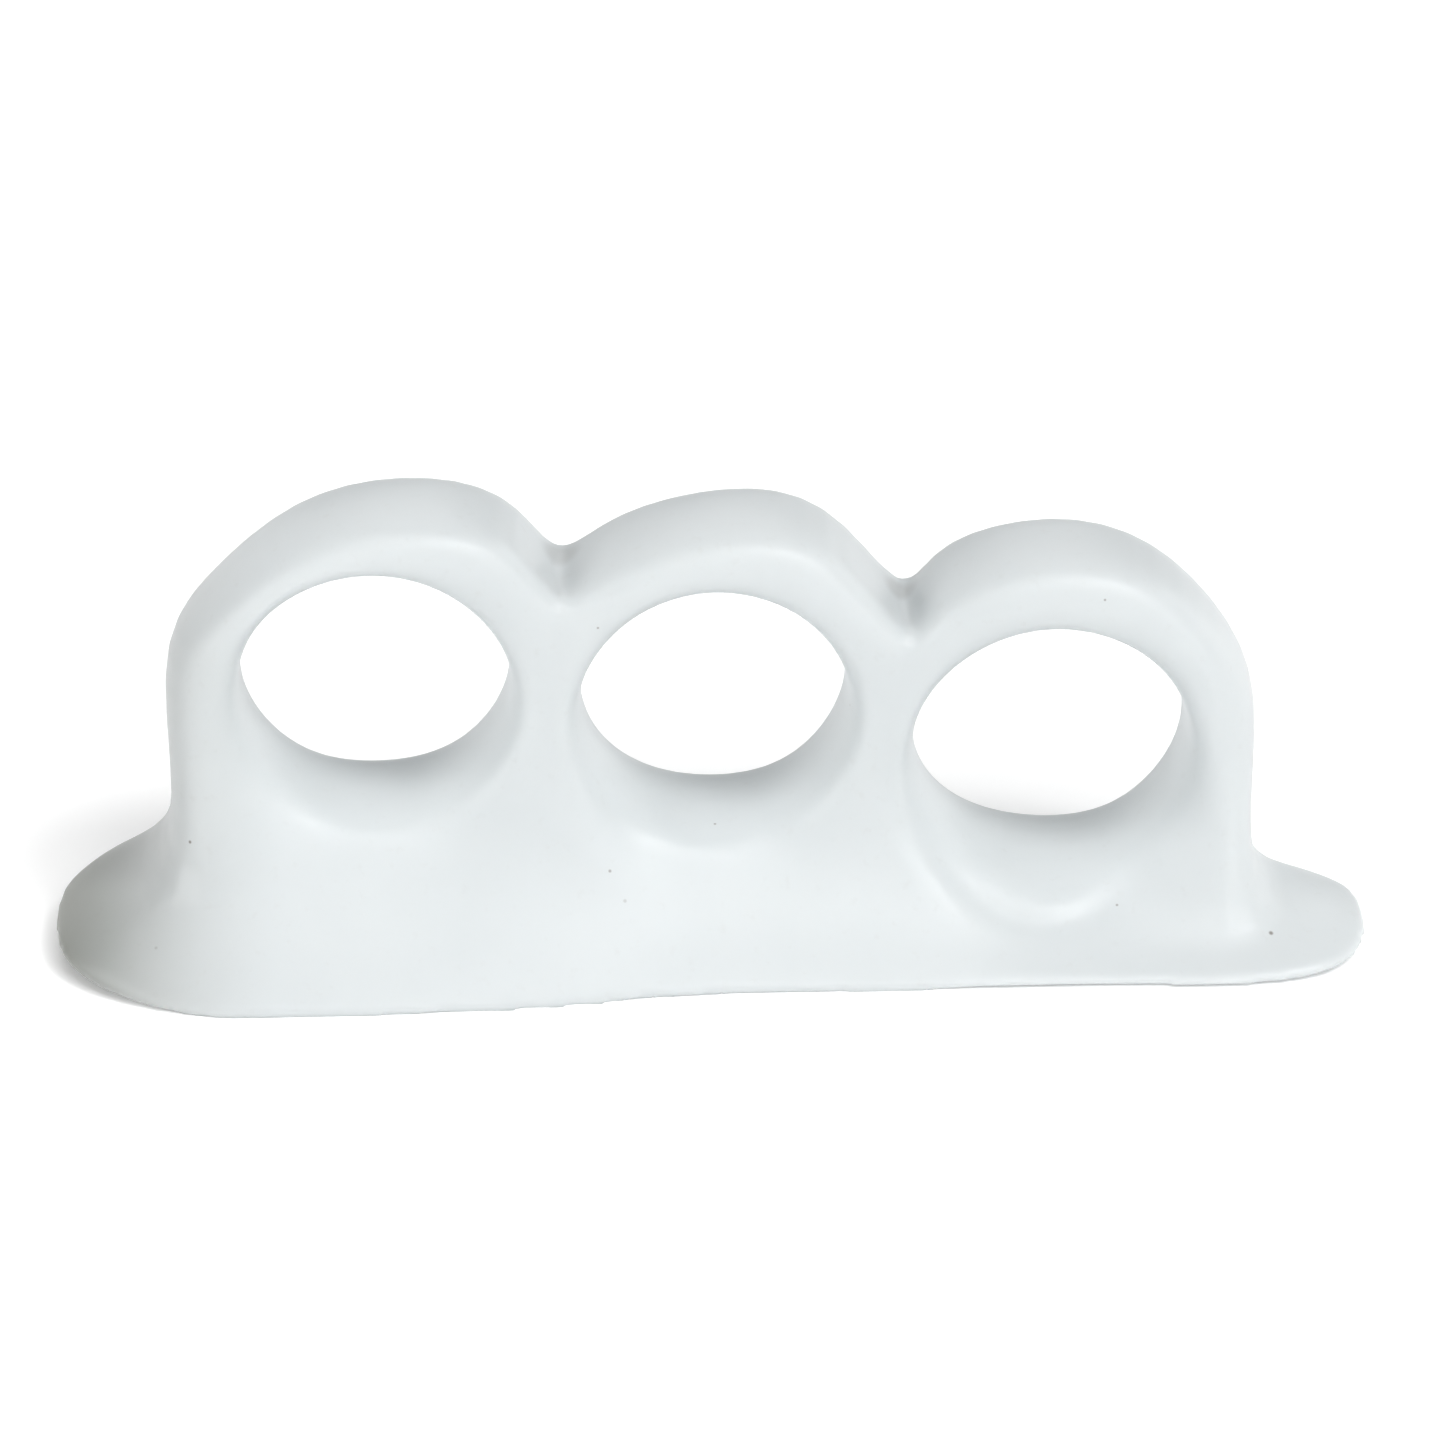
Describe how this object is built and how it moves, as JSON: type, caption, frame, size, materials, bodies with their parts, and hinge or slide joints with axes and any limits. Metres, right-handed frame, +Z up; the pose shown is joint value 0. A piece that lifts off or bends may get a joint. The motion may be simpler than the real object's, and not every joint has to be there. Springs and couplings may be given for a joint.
{
  "type": "toe crest pad",
  "caption": "Soft white gel toe crest pad: a low crest that tapers along its length, with a row of joined toe loops that step down in height and a rounded lobe and a flat tongue at its ends.",
  "frame": {"origin": "on the flat underside, straight below the axis of the middle loop, level with the mid depth of the first loop's band", "axes": "+X along the pad from its big toe end to its little toe end, +Y from the toe tips' side to the side of the ball of the foot, +Z up through the loops"},
  "size_m": [0.0814, 0.0213, 0.0291],
  "materials": {
    "white_gel": "satin, slightly translucent"
  },
  "bodies": {
    "root": {"gel_crest_pad": "white_gel"}
  },
  "joints": []
}
